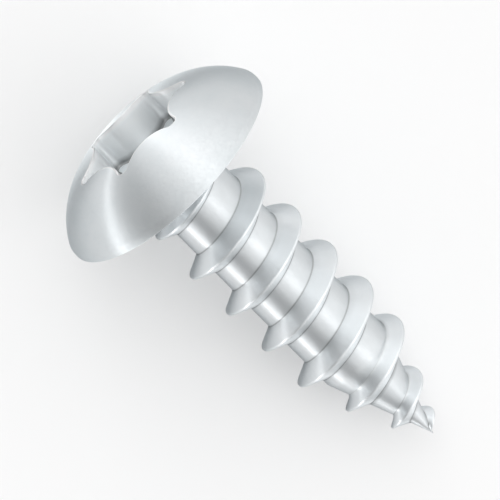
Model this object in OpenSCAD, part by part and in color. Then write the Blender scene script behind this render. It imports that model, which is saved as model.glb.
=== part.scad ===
// Truss head self-tapping screw with a six-lobe recess and a gimlet point, in millimetres.
// It is one solid. It is drawn along its own axis, with z = 0 at the underside of the head,
// the dome below that plane and the point above it. Then it is laid on its side, where it
// rests on the rim of its head and on the crest of its thread. The origin is on the
// surface it lies on, under the middle of its length.

/* [Head] */
// Diameter of the head
head_d = 9.9; // [8.5:0.1:12]
// Height of the head, from its underside to the top of the dome
head_h = 2.41; // [2.2:0.01:3]
// Height of the upright edge of the rim
rim_h = 0.3; // [0.2:0.01:0.5]
// Rounding of the rim's lower edge
rim_round = 0.08; // [0.02:0.01:0.15]
// Radius of the dome's flat crown
crown_r = 12; // [10:0.1:16]
// Radius of the dome's shoulder, which runs from the crown to the rim
shoulder_r = 3.45; // [2.8:0.05:3.8]

/* [Recess] */
// Width of the recess across two opposite lobes
lobe_span = 5.6; // [4.5:0.05:6]
// Width of the recess across two opposite flutes
flute_span = 3.95; // [3.4:0.05:4.2]
// Radius of a lobe's rounded end
lobe_r = 0.3; // [0.2:0.01:0.45]
// Depth of the recess walls, from the top of the dome
recess_depth = 1.8; // [1:0.05:1.9]
// Height of the shallow cone in the recess floor
floor_cone_h = 0.3; // [0.1:0.05:0.4]

/* [Shank] */
// Length from the underside of the head to the tip of the point
shank_len = 15.6; // [12:0.1:40]
// Diameter of the core at the root of the thread
core_d = 3.2; // [2.8:0.05:3.6]
// Radius of the fillet between the shank and the head
neck_r = 0.85; // [0.2:0.05:1]
// Length of the cone at the end of the core
point_len = 4.6; // [3:0.1:6]

/* [Thread] */
// Diameter over the crests
thread_d = 4.83; // [4.2:0.01:5.4]
// Distance from one crest to the next
pitch = 2.117; // [1.8:0.001:2.6]
// Angle between the two flanks of the thread, in degrees
flank_angle = 60; // [50:1:65]
// Width of the crest
crest_w = 0.08; // [0.04:0.01:0.2]
// Distance from the head at which the thread rises out of the shank
thread_start = 0.3; // [0.2:0.1:3]
// Length along the axis over which the thread grows to its full height
run_in = 1.7; // [0.8:0.1:3]
// Length at the point over which the crests come down towards the tip
crest_taper_len = 4.8; // [3:0.1:6]
// Diameter that the tapering crests would have at the tip
tip_crest_d = 0.85; // [0.3:0.05:1.2]
// Distance from one crest to the next at the tip, where the turns draw closer together
tip_pitch = 1.6; // [1.2:0.05:2.1]
// Length at the tip over which they do
close_len = 2.2; // [1:0.1:3]
// Length at the tip that is left without a thread
tip_bare = 0.05; // [0.05:0.05:0.6]
// Length along the axis over which the thread dies away at the point
run_out = 0.65; // [0.4:0.05:1.5]
// Turn of the thread about the axis, as the angle at which its crest leaves the underside
thread_turn = -26; // [-180:1:180]

/* [Hidden] */
zinc = [0.79, 0.82, 0.83];
$fn = 120;
eps = 0.01;
steps_per_turn = 36;

head_r = head_d / 2;
core_r = core_d / 2;
crest_r = thread_d / 2;
half_flank = flank_angle / 2;

// The crown's circle is centred on the axis. The shoulder's circle passes through the rim's
// upper edge and touches the crown's circle from inside, so that the dome has no crease.
// The seam is where they touch, and its angle follows from the triangle between the two
// centres and the rim's edge.
crown_y = crown_r - head_h;
centre_gap = crown_r - shoulder_r;
rim_reach = norm([head_r, crown_y + rim_h]);
seam_angle = atan2(head_r, crown_y + rim_h)
    - acos((pow(centre_gap, 2) + pow(rim_reach, 2) - pow(shoulder_r, 2)) / (2 * centre_gap * rim_reach));
shoulder_x = centre_gap * sin(seam_angle);
shoulder_y = crown_y - centre_gap * cos(seam_angle);
seam_x = crown_r * sin(seam_angle);

// A flute's circle is a little larger than one that would only touch the two lobes beside
// it, so that it cuts them. The body of the recess ends where the two circles cross.
lobe_x = lobe_span / 2 - lobe_r;
flute_in = flute_span / 2;
touching_r = (pow(lobe_x, 2) + pow(flute_in, 2) - 2 * lobe_x * flute_in * cos(30) - pow(lobe_r, 2))
    / (2 * (lobe_r + lobe_x * cos(30) - flute_in));
flute_r = 1.03 * touching_r;
flute_x = flute_in + flute_r;
cross_share = lobe_r / (lobe_r + flute_r);
body_r = norm([
    lobe_x + cross_share * (flute_x * cos(30) - lobe_x),
    cross_share * flute_x * sin(30)
]);

thread_end = shank_len - tip_bare;
// The foot of the ridge is sunk to this share of the core's radius
foot_share = 0.8;
// The ridge's crest comes down to this share of the core's radius at both ends of the thread
buried_share = 0.9;
close_start = shank_len - close_len;

// The height at which the crest stands after so many turns, and the turns that it takes to a height
function crest_z(turn) =
    let (even_z = pitch * (turn - thread_turn / 360))
    min(even_z, close_start + (even_z - close_start) * tip_pitch / pitch);
function turn_at(z) = thread_turn / 360 + max(z, close_start + (z - close_start) * pitch / tip_pitch) / pitch;
first_step = floor(turn_at(thread_start) * steps_per_turn);
last_step = ceil(turn_at(thread_end) * steps_per_turn);

function core_radius(z) = core_r * min(1, (shank_len - z) / point_len);
function crest_limit(z) =
    min(crest_r, tip_crest_d / 2 + (crest_r - tip_crest_d / 2) * (shank_len - z) / crest_taper_len);
function ramp(x) = max(0, min(1, x));
function growth(z) = ramp((z - thread_start) / run_in) * ramp((thread_end - z) / run_out);
function crest_radius(z) =
    buried_share * core_radius(z) + growth(z) * (crest_limit(z) - buried_share * core_radius(z));

// Lying on its side, the screw leans by the least angle that lets a crest reach the surface.
// The rim rests on its rounded lower edge.
function lean_on(z) =
    let (rise = head_r - rim_round - crest_radius(z), run = z + crest_w / 2 + rim_round)
    atan2(rise, run) + asin(rim_round / norm([rise, run]));
first_crest = ceil(turn_at(thread_start + run_in));
last_crest = floor(turn_at(thread_end));
lean = min([for (turn = [first_crest : last_crest]) lean_on(crest_z(turn))]);
lift = (head_r - rim_round) * cos(lean) + rim_round * (1 - sin(lean));
// The dome's furthest point back lies on the crown or, past the seam, on the shoulder
back_x = lean < seam_angle
    ? crown_y * cos(lean) - crown_r
    : shoulder_y * cos(lean) - shoulder_x * sin(lean) - shoulder_r;
mid_x = (shank_len * cos(lean) + back_x) / 2;

module head_profile() {
    difference() {
        union() {
            intersection() {
                translate([0, crown_y]) circle(r = crown_r);
                translate([0, -head_h - eps]) square([seam_x, head_h + eps]);
            }
            intersection() {
                translate([shoulder_x, shoulder_y]) circle(r = shoulder_r);
                translate([seam_x, -head_h]) square([head_r - seam_x, head_h]);
            }
        }
        rim_edge_waste();
    }
}

// What the rounding takes off the rim's lower edge
module rim_edge_waste() {
    translate([head_r - rim_round, -rim_round]) difference() {
        square(rim_round + eps);
        circle(r = rim_round);
    }
}

module shank_profile() {
    polygon([
        [0, -eps],
        [core_r, -eps],
        [core_r, shank_len - point_len],
        [0, shank_len]
    ]);
    neck_profile();
}

module neck_profile() {
    difference() {
        translate([core_r - eps, -eps]) square([neck_r + eps, neck_r + eps]);
        translate([core_r + neck_r, neck_r]) circle(r = neck_r);
    }
}

// The headed blank before the recess is punched and the thread is rolled
module blank() {
    rotate_extrude() {
        head_profile();
        shank_profile();
    }
}

module recess_outline() {
    difference() {
        union() {
            circle(r = body_r);
            for (a = [30 : 60 : 330]) rotate(a) translate([lobe_x, 0]) circle(r = lobe_r);
        }
        for (a = [0 : 60 : 300]) rotate(a) translate([flute_x, 0]) circle(r = flute_r);
    }
}

module recess() {
    floor_y = -head_h + recess_depth;
    intersection() {
        translate([0, 0, -head_h - 1]) linear_extrude(recess_depth + floor_cone_h + 1) recess_outline();
        rotate_extrude() polygon([
            [0, -head_h - 1],
            [lobe_span, -head_h - 1],
            [lobe_span, floor_y - floor_cone_h],
            [0, floor_y + floor_cone_h]
        ]);
    }
}

// One section of the ridge, in the plane through the axis at the given step of the helix
function ridge_section(step) =
    let (
        angle = 360 * step / steps_per_turn,
        z = crest_z(step / steps_per_turn),
        top = crest_radius(z),
        foot = foot_share * core_radius(z),
        foot_w = crest_w / 2 + (top - foot) * tan(half_flank)
    )
    [for (p = [[foot, -foot_w], [top, -crest_w / 2], [top, crest_w / 2], [foot, foot_w]])
        [p[0] * cos(angle), p[0] * sin(angle), z + p[1]]];

// The right-hand thread as a ridge that is carried round the core
module thread_ridge() {
    sections = [for (step = [first_step : last_step]) ridge_section(step)];
    last = len(sections) - 1;
    sides = [for (i = [0 : last - 1], j = [0 : 3])
        let (a = 4 * i + j, b = 4 * i + (j + 1) % 4)
        each [[a, b, b + 4], [a, b + 4, a + 4]]];
    start_face = [0, 3, 2, 1];
    end_face = [4 * last, 4 * last + 1, 4 * last + 2, 4 * last + 3];
    polyhedron(points = [for (s = sections) each s], faces = concat(sides, [start_face, end_face]));
}

module screw() {
    color(zinc)
    translate([-mid_x, 0, lift])
    rotate([0, 90 + lean, 0])
    union() {
        difference() {
            blank();
            recess();
        }
        thread_ridge();
    }
}

screw();
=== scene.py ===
"""Looks of the truss head self-tapping screw: its surface, zinc plating, floor, light and camera.

The screw is worked out about its own axis in millimetres, with z = 0 at the underside of the
head, the dome below that plane and the point above it. Then it is laid down, in metres, as
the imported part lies.
"""

import math

import bmesh
import bpy
import numpy as np
from mathutils import Matrix, Vector


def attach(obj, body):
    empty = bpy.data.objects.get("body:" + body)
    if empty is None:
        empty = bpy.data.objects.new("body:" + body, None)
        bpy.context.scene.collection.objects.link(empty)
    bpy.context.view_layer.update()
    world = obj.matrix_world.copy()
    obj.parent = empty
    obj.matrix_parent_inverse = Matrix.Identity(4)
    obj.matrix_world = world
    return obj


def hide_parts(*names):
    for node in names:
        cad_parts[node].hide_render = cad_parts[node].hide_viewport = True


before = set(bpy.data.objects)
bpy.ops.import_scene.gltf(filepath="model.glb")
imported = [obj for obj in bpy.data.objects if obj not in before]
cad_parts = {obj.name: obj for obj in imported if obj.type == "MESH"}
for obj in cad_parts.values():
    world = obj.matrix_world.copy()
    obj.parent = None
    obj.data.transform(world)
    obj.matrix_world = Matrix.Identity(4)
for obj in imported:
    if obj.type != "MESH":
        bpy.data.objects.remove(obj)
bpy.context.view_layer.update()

MM = 0.001

# Head. Its radius is a hair under the source's 4.95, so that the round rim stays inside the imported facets.
HEAD_R = 4.945
HEAD_H = 2.41
RIM_H = 0.3
RIM_ROUND = 0.08
CROWN_R = 12.0
SHOULDER_R = 3.45
SHOULDER_X = 1.86582
SHOULDER_Y = 1.24607
SEAM_X = 2.61869
# How far the rim's upper edge is softened, up the dome and down the rim
RIM_SOFTENING = 0.12

# Recess: how far the lobe and flute circles' centres are from the axis, and their radii
LOBE_X = 2.5
LOBE_R = 0.3
FLUTE_X = 3.56039
FLUTE_R = 1.58539
LOBE_TO_FLUTE = math.pi / 6
RECESS_DEPTH = 1.8
FLOOR_CONE_H = 0.3
FLOOR_FILLET = 0.1
MOUTH_ROUND = 0.05

# Shank
SHANK_LEN = 15.6
CORE_R = 1.6
NECK_R = 0.85
POINT_LEN = 4.6

# Thread
CREST_R = 2.415
PITCH = 2.117
HALF_FLANK = math.radians(30)
CREST_W = 0.08
THREAD_START = 0.3
RUN_IN = 1.7
CREST_TAPER_LEN = 4.8
TIP_CREST_R = 0.425
TIP_PITCH = 1.6
CLOSE_START = 13.4
TIP_BARE = 0.05
RUN_OUT = 0.65
THREAD_TURN = -26 / 360
BURIED_SHARE = 0.9
ROOT_FILLET = 0.08
CREST_SOFTENING = 0.03

# Grid: points round the axis, and rows of faces on each part of the head
COLUMNS = 300
OUTLINE_SAMPLES = 24 * COLUMNS
FLOOR_ROWS = 11
FILLET_ROWS = 5
WALL_ROWS = 6
MOUTH_ROWS = 5
CROWN_ROWS = 21
SHOULDER_ROWS = 15
SOFTENED_ROWS = 6
ROUND_ROWS = 6
UNDER_ROWS = 8
# The distance from the axis at which the dome's rings have become circles
PLAIN_R = 3.6
# Steps across half of the thread's strip: flat crest, its soft edge, flank, root and core
STRIP_STEPS = (2, 2, 3, 4, 3)
# How far the root's steps are set out from the sharp foot of the flank, and how far they reach at most
FOOT_MARGIN = 0.06
FOOT_REACH = 0.09
# Points closer than this are one point, and edges shorter than this go, in metres
MERGED_WITHIN = 2e-7
SHORTEST_EDGE = 1e-7

# Painted shade and highlight: a point's level where shade is painted, in a root; with nothing painted, on a
# plain face; and where a highlight is painted, on the ridge or an edge
PAINTED_SHADE = 0.0
NO_PAINTED_LIGHT = 0.5
PAINTED_HIGHLIGHT = 1.0
# How wide the shade painted in the thread's roots is, and how soon the highlight painted on the ridge comes
# in
PAINTED_LIGHT_WIDTH = 0.07
# How dark a reflection gets where the metal is seen along its surface
GRAZING_TINT = (0.42, 0.44, 0.45, 1)
# A quarter turn, by which the gloss is drawn out along the axis and not round it
ALONG_THE_AXIS = 0.25
# The places of a Mix node's two colours and of its result among its sockets
MIX_A = 6
MIX_B = 7
MIX_RESULT = 2

# Surround: how far across the screw a direction points, and the grey there
SURROUND_BANDS = [
    (-1.0, 1.0), (-0.96, 0.95), (-0.88, 0.5), (-0.76, 0.44), (-0.6, 0.38), (-0.45, 0.49), (-0.2, 0.8),
    (0.05, 0.87), (0.3, 1.0), (0.55, 1.0), (0.8, 0.98), (0.93, 0.94), (1.0, 0.82),
]
SURROUND_LEVEL = 1.24

# Floor and lamps, in metres. The floor is a hair under the screw, so that the two don't share a plane.
FLOOR_SIZE = 20
FLOOR_DROP = 0.00001
FLOOR_LIFT = 0.12
LAMP_DISTANCE = 0.33
SCREW_MIDDLE = Vector((0, 0, 0.004))

# Camera, in metres
TOWARDS_CAMERA = Vector((-0.1171, 0.0, 0.9931))
IMAGE_UP = Vector((-0.7022, 0.7071, -0.0828))
VIEW_CENTRE = Vector((-0.001619, -0.000012, 0.003719))
VIEW_WIDTH = 0.01953
CAMERA_DISTANCE = 0.6

# How the screw lies
LEAN = math.radians(13.1523)
LIFT = 4.80405
MID_X = 6.26481


def laid_down(x, y, z):
    """Turns the screw's own axes by a right angle and the lean about y, and lifts them to where it lies."""
    across = -MID_X - x * math.sin(LEAN) + z * math.cos(LEAN)
    up = LIFT - x * math.cos(LEAN) - z * math.sin(LEAN)
    return np.stack([across, y, up], -1) * MM


def placed(p, z):
    """Points from their places across the axis and their heights along it."""
    return np.concatenate([p, z[..., None]], -1)


def unit_circle():
    """Points at equal angles on a circle of radius one."""
    turn = np.linspace(0, 2 * math.pi, COLUMNS, endpoint=False)
    return np.stack([np.cos(turn), np.sin(turn)], -1)


def dome_height(r):
    """The crown's circle out to the seam, and the shoulder's circle beyond it."""
    crown = CROWN_R - HEAD_H - np.sqrt(CROWN_R**2 - np.minimum(r, SEAM_X) ** 2)
    past = np.maximum(r, SEAM_X) - SHOULDER_X
    shoulder = SHOULDER_Y - np.sqrt(SHOULDER_R**2 - np.minimum(past, SHOULDER_R) ** 2)
    return np.where(r < SEAM_X, crown, shoulder)


def floor_height(p):
    """The recess floor's shallow cone, deepest on the axis and at the walls' depth at a lobe's end."""
    r = np.linalg.norm(p, axis=-1)
    return RECESS_DEPTH - HEAD_H + FLOOR_CONE_H * (1 - r / (LOBE_X + LOBE_R))


def recess_outline():
    """The recess outline's points at equal steps along it, and its outward normals.

    At each angle the distance from the axis is that to the far side of the lobe's circle
    next to a lobe's middle, and that to the near side of the flute's circle beyond the point
    where the two circles cross. The line through them all is then resampled.
    """
    lobe_centre = np.array([LOBE_X, 0])
    flute_centre = FLUTE_X * np.array([math.cos(LOBE_TO_FLUTE), math.sin(LOBE_TO_FLUTE)])
    gap = np.linalg.norm(flute_centre - lobe_centre)
    towards = (flute_centre - lobe_centre) / gap
    sideways = np.array([towards[1], -towards[0]])
    along = (gap**2 + LOBE_R**2 - FLUTE_R**2) / (2 * gap)
    aside = math.sqrt(LOBE_R**2 - along**2)
    crossing = lobe_centre + along * towards + aside * sideways
    crossing_angle = math.atan2(crossing[1], crossing[0])

    angle = np.linspace(0, 2 * math.pi, OUTLINE_SAMPLES + 1)
    off_flute = np.abs((angle + LOBE_TO_FLUTE) % (2 * LOBE_TO_FLUTE) - LOBE_TO_FLUTE)
    off_lobe = LOBE_TO_FLUTE - off_flute
    in_lobe = np.sqrt(np.maximum(LOBE_R**2 - (LOBE_X * np.sin(off_lobe)) ** 2, 0))
    in_flute = np.sqrt(np.maximum(FLUTE_R**2 - (FLUTE_X * np.sin(off_flute)) ** 2, 0))
    lobe = LOBE_X * np.cos(off_lobe) + in_lobe
    flute = FLUTE_X * np.cos(off_flute) - in_flute
    r = np.where(off_lobe < crossing_angle, lobe, flute)
    line = np.stack([r * np.cos(angle), r * np.sin(angle)], -1)

    run = np.concatenate([[0], np.cumsum(np.linalg.norm(np.diff(line, axis=0), axis=1))])
    even = np.linspace(0, run[-1], COLUMNS, endpoint=False)
    points = np.stack([np.interp(even, run, line[:, 0]), np.interp(even, run, line[:, 1])], -1)
    tangent = np.roll(points, -1, 0) - np.roll(points, 1, 0)
    normal = np.stack([tangent[:, 1], -tangent[:, 0]], -1)
    return points, normal / np.linalg.norm(normal, axis=1, keepdims=True)


def recess_rings():
    """The recess from its middle outwards, ring after ring: floor, fillet, wall and rounded mouth.

    The floor is its cone, with the outline scaled from nothing to full size. The fillet and
    the mouth are quarter circles that turn from the floor into the wall and from the wall
    into the dome, along the outline's normals. The wall goes straight from one to the other.
    """
    outline, normal = recess_outline()
    inner = outline - FLOOR_FILLET * normal
    share = np.linspace(0, 1, FLOOR_ROWS + 1)[:, None, None]
    floor = placed(inner * share, floor_height(inner * share))

    bend = np.linspace(0, math.pi / 2, FILLET_ROWS + 1)[1:, None]
    bent = inner + FLOOR_FILLET * np.sin(bend)[..., None] * normal
    fillet = placed(bent, floor_height(inner) - FLOOR_FILLET * (1 - np.cos(bend)))

    curl = np.linspace(0, math.pi / 2, MOUTH_ROWS + 1)[:, None]
    lip = outline + MOUTH_ROUND * (1 - np.cos(curl))[..., None] * normal
    lip_height = dome_height(np.linalg.norm(lip, axis=-1)) + MOUTH_ROUND * (1 - np.sin(curl))
    mouth = placed(lip, lip_height)

    share = np.linspace(0, 1, WALL_ROWS + 1)[1:-1, None, None]
    wall = fillet[-1] * (1 - share) + mouth[0] * share
    return [floor, fillet, wall, mouth]


def crown_rings(mouth_edge):
    """The dome's rings, which go over from the mouth's edge to a circle, each point at the dome's height."""
    share = np.linspace(0, 1, CROWN_ROWS + 1)[1:, None, None]
    spread = mouth_edge[:, :2] * (1 - share) + PLAIN_R * unit_circle() * share
    return placed(spread, dome_height(np.linalg.norm(spread, axis=-1)))


def edge_rings():
    """Circles about the axis on the shoulder, the softened upper edge, the rim and the underside.

    The shoulder's circles follow its arc. The softened edge is a quadratic curve that leaves
    the arc, aims for the sharp edge and ends on the rim. The rim's lower edge is a quarter
    circle, and the underside is flat as far as the neck.
    """
    begins = math.asin((PLAIN_R - SHOULDER_X) / SHOULDER_R)
    meets = math.asin((HEAD_R - SHOULDER_X) / SHOULDER_R)
    lean = np.linspace(begins, meets - RIM_SOFTENING / SHOULDER_R, SHOULDER_ROWS + 1)[1:]
    shoulder_r = SHOULDER_X + SHOULDER_R * np.sin(lean)
    shoulder_z = SHOULDER_Y - SHOULDER_R * np.cos(lean)

    sharp_z = SHOULDER_Y - SHOULDER_R * math.cos(meets)
    share = np.linspace(0, 1, SOFTENED_ROWS + 1)[1:]
    leaving = (1 - share) ** 2
    aiming = 2 * share * (1 - share)
    ending = share**2
    softened_r = leaving * shoulder_r[-1] + (aiming + ending) * HEAD_R
    softened_z = leaving * shoulder_z[-1] + aiming * sharp_z + ending * (RIM_SOFTENING - RIM_H)

    bend = np.linspace(0, math.pi / 2, ROUND_ROWS + 1)
    round_r = HEAD_R - RIM_ROUND * (1 - np.cos(bend))
    round_z = -RIM_ROUND * (1 - np.sin(bend))
    under_r = np.linspace(HEAD_R - RIM_ROUND, CORE_R + NECK_R, UNDER_ROWS + 1)[1:]
    under_z = np.zeros(UNDER_ROWS)

    r = np.concatenate([shoulder_r, softened_r, round_r, under_r])
    z = np.concatenate([shoulder_z, softened_z, round_z, under_z])
    return placed(r[:, None, None] * unit_circle(), np.repeat(z[:, None], COLUMNS, 1))


def head_surface():
    """The head's rings from the middle of the recess to the neck, and each point's painted shade or
    highlight: shade painted in the recess floor's rounded corner, and a highlight painted on the mouth's
    rounded edge.
    """
    rings = recess_rings()
    rings += [crown_rings(rings[-1][-1]), edge_rings()]
    # Shade is painted on the recess floor's fillet, and a highlight on the mouth's rounded edge
    painted_shade_and_highlight_values = [NO_PAINTED_LIGHT, PAINTED_SHADE, NO_PAINTED_LIGHT, PAINTED_HIGHLIGHT, NO_PAINTED_LIGHT, NO_PAINTED_LIGHT]
    painted_shade_and_highlight = [np.full(part.shape[:2], value) for part, value in zip(rings, painted_shade_and_highlight_values)]
    return np.concatenate(rings), np.concatenate(painted_shade_and_highlight)


def smoothly_greater(a, b, reach):
    """The greater of two values, with a fillet where they differ by less than reach."""
    return np.maximum(a, b) + np.maximum(reach - np.abs(a - b), 0) ** 2 / (4 * reach)


def core_radius(z):
    """The cylinder, and the cone of the point beyond it."""
    return CORE_R * np.clip((SHANK_LEN - z) / POINT_LEN, 0, 1)


def crest_radius(z):
    """The crest's distance from the axis: grown at the head, lower along the point, buried at both ends."""
    limit = TIP_CREST_R + (CREST_R - TIP_CREST_R) * (SHANK_LEN - z) / CREST_TAPER_LEN
    grown = np.clip((z - THREAD_START) / RUN_IN, 0, 1)
    left = np.clip((SHANK_LEN - TIP_BARE - z) / RUN_OUT, 0, 1)
    buried = BURIED_SHARE * core_radius(z)
    return buried + grown * left * (np.minimum(CREST_R, limit) - buried)


def crest_height(turn):
    """The crest's place along the axis after so many turns, which are closer together at the tip."""
    even = PITCH * (turn - THREAD_TURN)
    return np.minimum(even, CLOSE_START + (even - CLOSE_START) * TIP_PITCH / PITCH)


def shank_surface():
    """A strip wound along the thread, its middle the crest and its edges met between the turns.

    A point's two parameters are the turn along the crest and the offset from it along the
    axis. Its distance from the axis is the greater of the core with its neck fillet and the
    ridge, whose flanks fall away from the crest at the flank angle. The strip begins half a
    turn before the underside of the head, and ends half a turn past the tip. Returns its
    rows of points and each point's painted shade and highlight: shade painted dark in the
    roots, and a highlight painted light on the ridge.
    """
    tip_turn = CLOSE_START / PITCH + (SHANK_LEN - CLOSE_START) / TIP_PITCH + THREAD_TURN
    first = math.floor((THREAD_TURN - 0.5) * COLUMNS) - 1
    last = math.ceil((tip_turn + 0.5) * COLUMNS) + 1
    turn = np.arange(first, last + 1)[:, None] / COLUMNS
    crest_z = crest_height(turn)
    top = crest_radius(crest_z)

    flat = CREST_W / 2
    foot = flat + FOOT_MARGIN + np.maximum(top - core_radius(crest_z), 0) * math.tan(HALF_FLANK)
    soft = np.minimum(FOOT_REACH, (foot - flat) / 2)
    halves = []
    for neighbour_z in (crest_height(turn - 1), crest_height(turn + 1)):
        edge = np.abs(neighbour_z - crest_z) / 2
        knots = [0 * foot, flat, flat + CREST_SOFTENING, foot - soft, foot + soft, edge]
        pieces = [knots[0]]
        for start, end, steps in zip(knots[:-1], knots[1:], STRIP_STEPS):
            share = np.linspace(0, 1, steps + 1)[1:]
            pieces.append(start + (end - start) * share + 0 * foot)
        halves.append(np.concatenate(pieces, 1))
    offset = np.concatenate([-halves[0][:, :0:-1], halves[1]], 1)

    z = np.clip(crest_z + offset, 0, SHANK_LEN)
    neck = CORE_R + NECK_R - np.sqrt(NECK_R**2 - np.maximum(NECK_R - z, 0) ** 2)
    core = np.where(z < NECK_R, neck, core_radius(z))
    flank = top - (np.abs(offset) - flat) / math.tan(HALF_FLANK)
    ridge = -smoothly_greater(-top, -flank, CREST_SOFTENING)
    r = smoothly_greater(core, ridge, ROOT_FILLET)
    r = np.where((z <= 0) | (z >= SHANK_LEN), core, r)
    angle = 2 * math.pi * turn
    points = np.stack([r * np.cos(angle), r * np.sin(angle), z], -1)

    # Shade is painted dark into the roots, and a highlight is painted light onto the ridge
    stands_out = np.clip((top - core) / PAINTED_LIGHT_WIDTH, 0, 1)
    root_painted_shade = np.exp(-(((core - ridge) / PAINTED_LIGHT_WIDTH) ** 2)) * stands_out
    ridge_painted_highlight = np.clip((ridge - core) / PAINTED_LIGHT_WIDTH, 0, 1)
    painted_shade_and_highlight = NO_PAINTED_LIGHT + (PAINTED_HIGHLIGHT - NO_PAINTED_LIGHT) * ridge_painted_highlight - (NO_PAINTED_LIGHT - PAINTED_SHADE) * root_painted_shade
    return points, painted_shade_and_highlight


def grid_faces(rows, columns, closed, first):
    """Four-cornered faces between neighbouring rows and columns.

    Where the grid is closed, the last column is joined to the first.
    """
    across = np.arange(columns if closed else columns - 1)
    row = np.arange(rows - 1)[:, None]
    a = row * columns + across
    b = row * columns + (across + 1) % columns
    return first + np.stack([a, b, b + columns, a + columns], -1).reshape(-1, 4)


def closed_mesh(name, points, faces, finish, painted_shade_and_highlight):
    """A smooth mesh from its points, faces, the number of each face's finish and each point's painted shade
    or highlight.

    Its doubled seams and poles are merged, and its faces turned outwards.
    """
    mesh = bpy.data.meshes.new(name)
    mesh.vertices.add(len(points))
    mesh.vertices.foreach_set("co", points.astype(np.float32).ravel())
    mesh.loops.add(faces.size)
    mesh.loops.foreach_set("vertex_index", faces.astype(np.int32).ravel())
    mesh.polygons.add(len(faces))
    mesh.polygons.foreach_set("loop_start", np.arange(0, faces.size, 4, dtype=np.int32))
    mesh.polygons.foreach_set("material_index", finish.astype(np.int32))
    mesh.attributes.new("painted_shade_and_highlight", "FLOAT", "POINT").data.foreach_set("value", painted_shade_and_highlight.astype(np.float32))
    mesh.update(calc_edges=True)
    work = bmesh.new()
    work.from_mesh(mesh)
    bmesh.ops.remove_doubles(work, verts=work.verts, dist=MERGED_WITHIN)
    bmesh.ops.dissolve_degenerate(work, edges=work.edges, dist=SHORTEST_EDGE)
    bmesh.ops.recalc_face_normals(work, faces=work.faces)
    for face in work.faces:
        face.smooth = True
    work.to_mesh(mesh)
    work.free()
    piece = bpy.data.objects.new(name, mesh)
    bpy.context.scene.collection.objects.link(piece)
    return piece


def node(tree, kind, **values):
    """A node with its named sockets or settings set."""
    made = tree.nodes.new(kind)
    for name, value in values.items():
        label = name.replace("_", " ")
        if label in made.inputs:
            made.inputs[label].default_value = value
        else:
            setattr(made, name, value)
    return made


def shading(name):
    """A new material, its empty node tree and the tree's output."""
    material = bpy.data.materials.new(name)
    material.use_nodes = True
    tree = material.node_tree
    tree.nodes.clear()
    return material, tree, tree.nodes.new("ShaderNodeOutputMaterial")


def ramp(tree, stops):
    """A colour ramp with the given places and greys or colours."""
    made = tree.nodes.new("ShaderNodeValToRGB")
    elements = made.color_ramp.elements
    while len(elements) < len(stops):
        elements.new(0.5)
    for element, (place, colour) in zip(elements, stops):
        element.position = place
        element.color = (*colour, 1) if isinstance(colour, tuple) else (colour, colour, colour, 1)
    return made


def vector_maths(tree, operation, a, b=None):
    """The result of a vector operation on a linked vector and, where it takes two, a fixed one."""
    made = node(tree, "ShaderNodeVectorMath", operation=operation)
    tree.links.new(a, made.inputs[0])
    if b is not None:
        made.inputs[1].default_value = b
    return made.outputs[0]


def zinc_plating(name, gloss, drawn_out, dull, bright, metallic=1.0):
    """Bright zinc on steel: a cool pale metal with a faint cloudiness, a fine grain and a satin gloss, its
    colour darkened by shade painted in the roots and the recess floor's corner, and lightened by a highlight
    painted on the ridge and the mouth's edge.

    The gloss is drawn out along the axis, across the marks that turning leaves round it. The
    shader's tangent therefore runs round the axis: it is the axis crossed with the way from
    a point of it to the surface.
    """
    material, tree, out = shading(name)
    link = tree.links.new
    metal = node(
        tree, "ShaderNodeBsdfPrincipled", Metallic=metallic, Specular_Tint=GRAZING_TINT,
        Anisotropic=drawn_out, Anisotropic_Rotation=ALONG_THE_AXIS,
    )
    link(metal.outputs["BSDF"], out.inputs["Surface"])
    where = tree.nodes.new("ShaderNodeTexCoord").outputs["Object"]

    clouds = node(tree, "ShaderNodeTexNoise", Scale=420.0, Detail=4.0, Roughness=0.6)
    tint = ramp(tree, [(0.3, dull), (0.7, bright)])
    # Painted shade and highlight: the colour is multiplied by 0.42 where shade is painted, and by 1.12 where
    # a highlight is painted
    painted_shade_and_highlight = node(tree, "ShaderNodeAttribute", attribute_name="painted_shade_and_highlight")
    painted_shade_and_highlight_values = ramp(tree, [(PAINTED_SHADE, 0.42), (NO_PAINTED_LIGHT, 1.0), (PAINTED_HIGHLIGHT, 1.12)])
    base_with_painted_shade_and_highlight = node(tree, "ShaderNodeMix", data_type="RGBA", blend_type="MULTIPLY", Factor=1.0)
    link(where, clouds.inputs["Vector"])
    link(clouds.outputs["Fac"], tint.inputs["Fac"])
    link(painted_shade_and_highlight.outputs["Fac"], painted_shade_and_highlight_values.inputs["Fac"])
    link(tint.outputs["Color"], base_with_painted_shade_and_highlight.inputs[MIX_A])
    link(painted_shade_and_highlight_values.outputs["Color"], base_with_painted_shade_and_highlight.inputs[MIX_B])
    link(base_with_painted_shade_and_highlight.outputs[MIX_RESULT], metal.inputs["Base Color"])

    grain = node(tree, "ShaderNodeTexNoise", Scale=9000.0, Detail=3.0, Roughness=0.55)
    rough = node(tree, "ShaderNodeMapRange", From_Min=0.3, From_Max=0.7, To_Min=gloss[0], To_Max=gloss[1])
    relief = node(tree, "ShaderNodeBump", Strength=0.25, Distance=0.00001)
    link(where, grain.inputs["Vector"])
    link(grain.outputs["Fac"], rough.inputs["Value"])
    link(grain.outputs["Fac"], relief.inputs["Height"])
    link(rough.outputs["Result"], metal.inputs["Roughness"])
    link(relief.outputs["Normal"], metal.inputs["Normal"])

    from_axis = vector_maths(tree, "SUBTRACT", where, (-MID_X * MM, 0, LIFT * MM))
    around = vector_maths(tree, "CROSS_PRODUCT", from_axis, (math.cos(LEAN), 0, -math.sin(LEAN)))
    link(vector_maths(tree, "NORMALIZE", around), metal.inputs["Tangent"])
    return material


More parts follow.
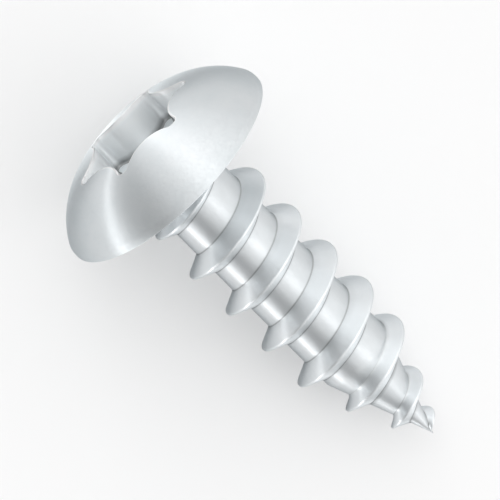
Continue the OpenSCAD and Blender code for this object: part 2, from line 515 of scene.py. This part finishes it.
def white_floor():
    """A white matt paper sweep. Where the camera or a reflection sees it, a little glow lifts it to white."""
    material, tree, out = shading("white_sweep")
    link = tree.links.new
    paper = node(tree, "ShaderNodeBsdfDiffuse", Color=(0.81, 0.81, 0.81, 1))
    glow = tree.nodes.new("ShaderNodeEmission")
    both = tree.nodes.new("ShaderNodeAddShader")
    path = tree.nodes.new("ShaderNodeLightPath")
    seen = node(tree, "ShaderNodeMath", operation="MAXIMUM")
    seen_at_all = node(tree, "ShaderNodeMath", operation="MAXIMUM")
    strength = node(tree, "ShaderNodeMath", operation="MULTIPLY")
    strength.inputs[1].default_value = FLOOR_LIFT
    link(path.outputs["Is Camera Ray"], seen.inputs[0])
    link(path.outputs["Is Glossy Ray"], seen.inputs[1])
    link(seen.outputs[0], seen_at_all.inputs[0])
    link(path.outputs["Is Transmission Ray"], seen_at_all.inputs[1])
    link(seen_at_all.outputs[0], strength.inputs[0])
    link(strength.outputs[0], glow.inputs["Strength"])
    link(paper.outputs[0], both.inputs[0])
    link(glow.outputs[0], both.inputs[1])
    link(both.outputs[0], out.inputs["Surface"])
    return material


def studio_surround():
    """A soft surround in upright bands, like long soft boxes with grey card between them.

    Its grey follows how far a direction points across the screw, which is the direction's
    y, through a ramp.
    """
    world = bpy.data.worlds.new("studio")
    bpy.context.scene.world = world
    world.use_nodes = True
    tree = world.node_tree
    tree.nodes.clear()
    link = tree.links.new
    out = tree.nodes.new("ShaderNodeOutputWorld")
    glow = node(tree, "ShaderNodeBackground", Strength=SURROUND_LEVEL)
    where = tree.nodes.new("ShaderNodeTexCoord")
    parts = tree.nodes.new("ShaderNodeSeparateXYZ")
    share = node(tree, "ShaderNodeMapRange", From_Min=-1.0)
    bands = ramp(tree, [((across + 1) / 2, grey) for across, grey in SURROUND_BANDS])
    link(where.outputs["Generated"], parts.inputs[0])
    link(parts.outputs["Y"], share.inputs["Value"])
    link(share.outputs["Result"], bands.inputs["Fac"])
    link(bands.outputs["Color"], glow.inputs["Color"])
    link(glow.outputs[0], out.inputs["Surface"])


def soft_box(name, direction, size, power):
    """A rectangular soft lamp in a direction from the middle of the screw, turned towards it."""
    lamp = bpy.data.lights.new(name, "AREA")
    lamp.shape = "RECTANGLE"
    lamp.size = size[0]
    lamp.size_y = size[1]
    lamp.energy = power
    holder = bpy.data.objects.new(name, lamp)
    bpy.context.scene.collection.objects.link(holder)
    place = SCREW_MIDDLE + Vector(direction).normalized() * LAMP_DISTANCE
    holder.location = place
    holder.rotation_mode = "QUATERNION"
    holder.rotation_quaternion = (SCREW_MIDDLE - place).to_track_quat("-Z", "Y")


# The screw's surface and its three finishes, which the faces are numbered for in this order
head, head_painted_shade_and_highlight = head_surface()
shank, shank_painted_shade_and_highlight = shank_surface()
points = np.concatenate([head.reshape(-1, 3), shank.reshape(-1, 3)])
painted_shade_and_highlight = np.concatenate([head_painted_shade_and_highlight.ravel(), shank_painted_shade_and_highlight.ravel()])
head_faces = grid_faces(*head.shape[:2], True, 0)
shank_faces = grid_faces(*shank.shape[:2], False, head_painted_shade_and_highlight.size)
faces = np.concatenate([head_faces, shank_faces])
ON_RECESS_WALLS, ON_HEAD, ON_THREAD = range(3)
floor_count = FLOOR_ROWS * COLUMNS
wall_count = (FILLET_ROWS + WALL_ROWS) * COLUMNS
dome_count = len(head_faces) - floor_count - wall_count
finish = np.repeat(
    [ON_HEAD, ON_RECESS_WALLS, ON_HEAD, ON_THREAD],
    [floor_count, wall_count, dome_count, len(shank_faces)],
)
screw = closed_mesh("plated_screw", laid_down(*points.T), faces, finish, painted_shade_and_highlight)
# The recess walls get a paler, less metallic copy of the plating: painted light that lifts the walls out of
# the recess's own shade
screw.data.materials.append(zinc_plating(
    "plating_painted_lighter_on_recess_walls", gloss=(0.3, 0.37), drawn_out=0.95,
    dull=(0.91, 0.935, 0.945), bright=(0.96, 0.975, 0.98), metallic=0.55,
))
screw.data.materials.append(zinc_plating(
    "plating_on_head", gloss=(0.46, 0.53), drawn_out=1.0,
    dull=(0.865, 0.91, 0.93), bright=(0.925, 0.955, 0.97),
))
screw.data.materials.append(zinc_plating(
    "plating_on_rolled_thread", gloss=(0.37, 0.44), drawn_out=0.95,
    dull=(0.76, 0.79, 0.805), bright=(0.82, 0.845, 0.86),
))
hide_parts("screw")
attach(screw, "root")

# Floor and light
bpy.ops.mesh.primitive_plane_add(size=FLOOR_SIZE, location=(0, 0, -FLOOR_DROP))
floor = bpy.context.object
floor.name = "floor"
floor.data.materials.append(white_floor())
studio_surround()
soft_box("over_box", (0.532, 0.3215, 0.783), (0.16, 0.3), 0.07)
soft_box("low_box", (0.33, -0.95, 0.07), (0.4, 0.04), 0.11)
soft_box("front_box", (-0.75, 0.3, 0.6), (0.12, 0.34), 0.065)
soft_box("side_box", (-0.3, -0.95, 0.05), (0.22, 0.035), 0.04)
soft_box("mouth_box", (-1.0, 0.35, 0.25), (0.2, 0.2), 0.03)

# Camera
camera_data = bpy.data.cameras.new("camera")
camera_data.sensor_width = 36
camera_data.lens = camera_data.sensor_width * CAMERA_DISTANCE / VIEW_WIDTH
camera_data.clip_start = 0.01
camera_data.clip_end = 100
camera = bpy.data.objects.new("camera", camera_data)
bpy.context.scene.collection.objects.link(camera)
image_right = IMAGE_UP.cross(TOWARDS_CAMERA)
camera.location = VIEW_CENTRE + TOWARDS_CAMERA * CAMERA_DISTANCE
camera.rotation_mode = "QUATERNION"
camera.rotation_quaternion = Matrix((image_right, IMAGE_UP, TOWARDS_CAMERA)).transposed().to_quaternion()
bpy.context.scene.camera = camera

bpy.context.scene.view_settings.view_transform = "Standard"
